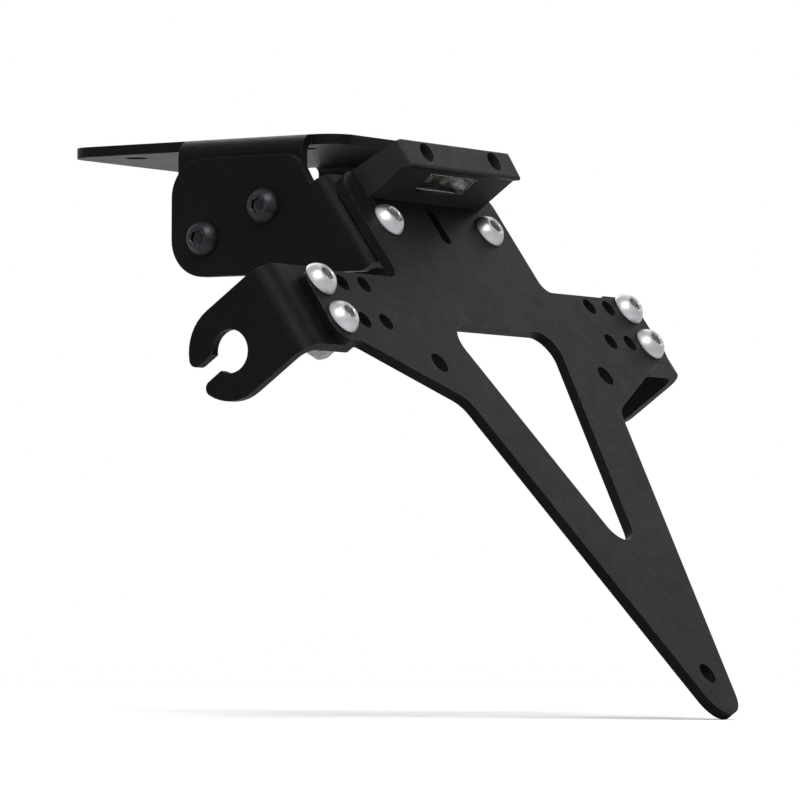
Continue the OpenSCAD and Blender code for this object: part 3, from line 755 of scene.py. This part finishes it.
# The grommet: a rubber sleeve whose collar has a rolled rim and whose bore is flared at its ends
GROMMET_R = 2.0
BORE_R = 1.0
COLLAR_R = GROMMET_R + 1.6
COLLAR_BACK = BRACKET_BACK - 1.5
ROLL_R = 0.75
ROLL_STEPS = 8
profile = [
    (BORE_R, LENS_BACK - 0.4), (BORE_R + 0.25, LENS_BACK), (GROMMET_R - 0.3, LENS_BACK),
    (GROMMET_R, LENS_BACK - 0.3), (GROMMET_R, BRACKET_BACK), (COLLAR_R - 0.35, BRACKET_BACK)
]
for i in range(ROLL_STEPS + 1):
    angle = math.pi / 2 - math.pi * i / ROLL_STEPS
    out = COLLAR_R - ROLL_R + ROLL_R * math.cos(angle)
    profile.append((out, BRACKET_BACK - ROLL_R + ROLL_R * math.sin(angle)))
profile += [
    (BORE_R + 0.8, COLLAR_BACK + 0.12), (BORE_R + 0.35, COLLAR_BACK + 0.2), (BORE_R, COLLAR_BACK + 0.6)
]
grommet = Builder()
grommet.skin([circle(r, z) for r, z in profile], on_carrier(0, LAMP_CABLE_RISE), closed=True)
grommet.finish("lamp_grommet_rolled", "seal_rubber", "lamp_grommet")


# Solids that keep their own mesh: a finish, and edges rounded as the coat or the mould leaves them
SHEET_EDGE = 0.28
EDGE_RINGS = 3
FLAT_ANGLE = math.radians(0.3)
SHARP_ANGLE = math.radians(30)
KEPT = {
    "number_plate_carrier": ("powder_coat", SHEET_EDGE),
    "upper_bracket": ("powder_coat", SHEET_EDGE),
    "tail_mount_bracket": ("powder_coat", SHEET_EDGE),
    "left_indicator_ear": ("powder_coat", SHEET_EDGE),
    "right_indicator_ear": ("powder_coat", SHEET_EDGE),
    "lamp_housing": ("lamp_plastic", 0.3),
    "lamp_seal": ("seal_rubber", 0.1),
    "lamp_board": ("circuit_board", 0.06)
}
for name, (slot, radius) in KEPT.items():
    solid = nodes[name]
    solid.data.materials.clear()
    solid.data.materials.append(FINISH[slot])
    merge = solid.modifiers.new("flat faces", "DECIMATE")
    merge.decimate_type = "DISSOLVE"
    merge.angle_limit = FLAT_ANGLE
    bevel = solid.modifiers.new("rounded edges", "BEVEL")
    bevel.width = radius * MM
    bevel.segments = EDGE_RINGS
    bevel.limit_method = "ANGLE"
    bevel.angle_limit = SHARP_ANGLE
    bevel.harden_normals = True


# Stage: a pale floor that turns white in the distance, and soft studio light
FLOOR_LEVEL = cad_low[2]
FLOOR_SIZE = 40
# The floor's grey for diffuse rays alone, so that it throws less light up at the part
FLOOR_BOUNCE = 0.42
# Distances in metres over which the floor turns white
FADE_FROM = 0.35
FADE_TO = 1.6
bpy.ops.mesh.primitive_plane_add(size=FLOOR_SIZE, location=(0.05, 0, FLOOR_LEVEL))
floor = bpy.context.object
floor.name = "floor"


def rays_seen(tree):
    """1 for the rays of the camera, of gloss and of glass, which see the background's own colour."""
    rays = tree.nodes.new("ShaderNodeLightPath")
    seen = rays.outputs["Is Camera Ray"]
    for name in ("Is Glossy Ray", "Is Transmission Ray"):
        add = tree.nodes.new("ShaderNodeMath")
        add.operation = "ADD"
        add.use_clamp = True
        tree.links.new(seen, add.inputs[0])
        tree.links.new(rays.outputs[name], add.inputs[1])
        seen = add.outputs[0]
    return seen


floor_shader = Shader("floor")
mottle = floor_shader.noise(60, detail=3)
floor_tone = floor_shader.mix(floor_shader.span(mottle, 0.3, 0.7), grey(0.88), grey(0.90))
floor_tone = floor_shader.mix(rays_seen(floor_shader.tree), grey(FLOOR_BOUNCE), floor_tone)
floor_shader.set(Base_Color=floor_tone, Roughness=0.9, Specular_IOR_Level=0.2)
glow = floor_shader.tree.nodes.new("ShaderNodeEmission")
glow.inputs["Color"].default_value = grey(1.0)
distance = floor_shader.tree.nodes.new("ShaderNodeVectorMath")
distance.operation = "LENGTH"
floor_shader.link(floor_shader.place, distance.inputs[0])
far_off = floor_shader.span(distance.outputs["Value"], FADE_FROM, FADE_TO)
fade = floor_shader.times(far_off, rays_seen(floor_shader.tree))
blend = floor_shader.tree.nodes.new("ShaderNodeMixShader")
floor_shader.link(fade, blend.inputs[0])
floor_shader.link(floor_shader.main.outputs["BSDF"], blend.inputs[1])
floor_shader.link(glow.outputs["Emission"], blend.inputs[2])
floor_shader.link(blend.outputs[0], floor_shader.output.inputs["Surface"])
floor.data.materials.append(floor_shader.material)

world = bpy.data.worlds.new("studio")
scene.world = world
world.use_nodes = True
world_tree = world.node_tree
world_tree.nodes.clear()
world_out = world_tree.nodes.new("ShaderNodeOutputWorld")
soft = world_tree.nodes.new("ShaderNodeBackground")
soft.inputs["Color"].default_value = (0.95, 0.97, 1.0, 1)
sky = world_tree.nodes.new("ShaderNodeTexCoord")
height = world_tree.nodes.new("ShaderNodeSeparateXYZ")
world_tree.links.new(sky.outputs["Generated"], height.inputs[0])
gradient = world_tree.nodes.new("ShaderNodeMapRange")
for socket, value in {"From Min": 0.45, "From Max": 1.0, "To Min": 0.14, "To Max": 1.35}.items():
    gradient.inputs[socket].default_value = value
world_tree.links.new(height.outputs["Z"], gradient.inputs["Value"])
world_tree.links.new(gradient.outputs["Result"], soft.inputs["Strength"])
plain = world_tree.nodes.new("ShaderNodeBackground")
plain.inputs["Color"].default_value = grey(1.0)
plain.inputs["Strength"].default_value = 1.0
switch = world_tree.nodes.new("ShaderNodeMixShader")
world_tree.links.new(rays_seen(world_tree), switch.inputs[0])
world_tree.links.new(soft.outputs[0], switch.inputs[1])
world_tree.links.new(plain.outputs[0], switch.inputs[2])
world_tree.links.new(switch.outputs[0], world_out.inputs["Surface"])


LIT_POINT = Vector((0.055, 0, -0.08))


def softbox(name, direction, distance, size, watts):
    """A square lamp that shines on the part from a direction. Distance and size are in metres."""
    data = bpy.data.lights.new(name, "AREA")
    data.shape = "RECTANGLE"
    data.size = size
    data.size_y = size
    data.energy = watts
    lamp = bpy.data.objects.new(name, data)
    scene.collection.objects.link(lamp)
    away = Vector(direction).normalized()
    lamp.location = LIT_POINT + away * distance
    lamp.rotation_euler = away.to_track_quat("Z", "Y").to_euler()


softbox("key", (0.44, -0.50, 0.75), 1.5, 0.8, 16)
softbox("fill", (-0.25, 0.75, 0.85), 1.8, 0.9, 3)
softbox("sheen", (0.02, 0.90, 0.43), 1.0, 0.45, 0.3)
softbox("front", (-0.75, 0.45, 0.55), 1.8, 1.0, 10)
